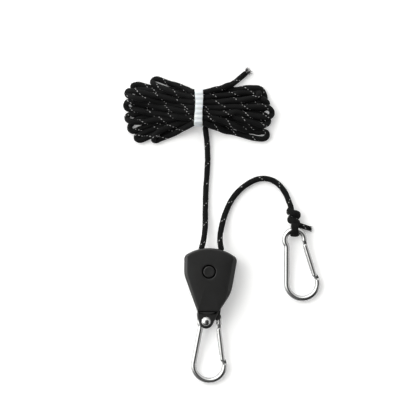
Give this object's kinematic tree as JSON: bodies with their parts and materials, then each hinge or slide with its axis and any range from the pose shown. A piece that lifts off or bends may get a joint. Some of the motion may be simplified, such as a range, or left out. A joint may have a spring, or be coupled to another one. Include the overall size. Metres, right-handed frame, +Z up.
{
  "type": "rope ratchet hanger",
  "caption": "Rope ratchet hanger: a tapered pulley housing with a one-way wheel, a black braided rope in a tied hank, and two plated snap hooks.",
  "frame": {"origin": "on the flat back face of the housing, under the axle of the wheel", "axes": "+Z up out of the back face, along the wheel's axle; +Y from the tail rivet to the wheel, the way the rope leaves; +X towards the load leg of the rope"},
  "size_m": [0.1391, 0.2115, 0.0154],
  "materials": {
    "housing_plastic": "satin black moulded plastic",
    "plate_steel": "zinc plated sheet steel",
    "wheel_metal": "cast and tumbled zinc alloy",
    "bush_brass": "turned brass",
    "rivet_nickel": "bright nickel plate",
    "pawl_black": "black coated steel",
    "spring_steel": "bright spring wire",
    "hook_plating": "bright zinc plated wire",
    "rope_black": "black braided polypropylene with white tracer yarns",
    "band_white": "white elastic band"
  },
  "bodies": {
    "housing": {"rear_cover": "housing_plastic", "front_cover": "housing_plastic", "axle_cap": "housing_plastic", "rear_side_plate": "plate_steel", "front_side_plate": "plate_steel", "wheel_bush": "bush_brass", "wheel_axle": "rivet_nickel", "pawl_pin": "rivet_nickel", "pawl_spring": "spring_steel", "tail_rivet": "rivet_nickel", "tail_sleeve": "plate_steel", "rope_in_housing": "rope_black", "rope_load_leg": "rope_black", "rope_free_leg": "rope_black", "rope_hank": "rope_black", "hank_band": "band_white", "rope_end": "rope_black", "rope_knot": "rope_black", "rope_knot_tail": "rope_black"},
    "wheel": {"ratchet_wheel": "wheel_metal"},
    "pawl": {"release_pawl": "pawl_black"},
    "main_hook": {"main_hook_body": "hook_plating", "main_hook_gate_pin": "rivet_nickel"},
    "main_gate": {"main_hook_gate": "hook_plating", "main_hook_latch_pin": "rivet_nickel", "main_hook_gate_spring": "spring_steel", "main_hook_plunger": "rivet_nickel"},
    "rope_hook": {"rope_hook_body": "hook_plating", "rope_hook_gate_pin": "rivet_nickel"},
    "rope_gate": {"rope_hook_gate": "hook_plating", "rope_hook_latch_pin": "rivet_nickel", "rope_hook_gate_spring": "spring_steel", "rope_hook_plunger": "rivet_nickel"}
  },
  "joints": [
    {"name": "wheel_spin", "type": "hinge", "parent": "housing", "child": "wheel", "pos_m": [0, 0, 0.0075], "axis": [0, 0, 1], "continuous": true},
    {"name": "pawl_release", "type": "hinge", "parent": "housing", "child": "pawl", "pos_m": [0.00831, -0.0166, 0.0102], "axis": [0, 0, 1], "range_deg": [0, 12], "stiffness_Nm_per_rad": 0.02, "springref_deg": -8.59},
    {"name": "main_hook_swing", "type": "hinge", "parent": "housing", "child": "main_hook", "pos_m": [0, -0.03305, 0.0063], "axis": [0, 0, 1], "range_deg": [-70, 70]},
    {"name": "main_hook_gate_open", "type": "hinge", "parent": "main_hook", "child": "main_gate", "pos_m": [0.01232, -0.05794, 0.0038], "axis": [-0.0139, -0.1069, 0.9942], "range_deg": [0, 24], "stiffness_Nm_per_rad": 0.03, "springref_deg": -11.46},
    {"name": "rope_hook_swing", "type": "hinge", "parent": "housing", "child": "rope_hook", "pos_m": [0.05585, 0.02433, 0.00466], "axis": [0.0037, -0.0662, 0.9978], "range_deg": [-45, 45]},
    {"name": "rope_hook_gate_open", "type": "hinge", "parent": "rope_hook", "child": "rope_gate", "pos_m": [0.07035, 0.00184, 0.00312], "axis": [0.0037, -0.0662, 0.9978], "range_deg": [0, 24], "stiffness_Nm_per_rad": 0.03, "springref_deg": -11.46}
  ]
}
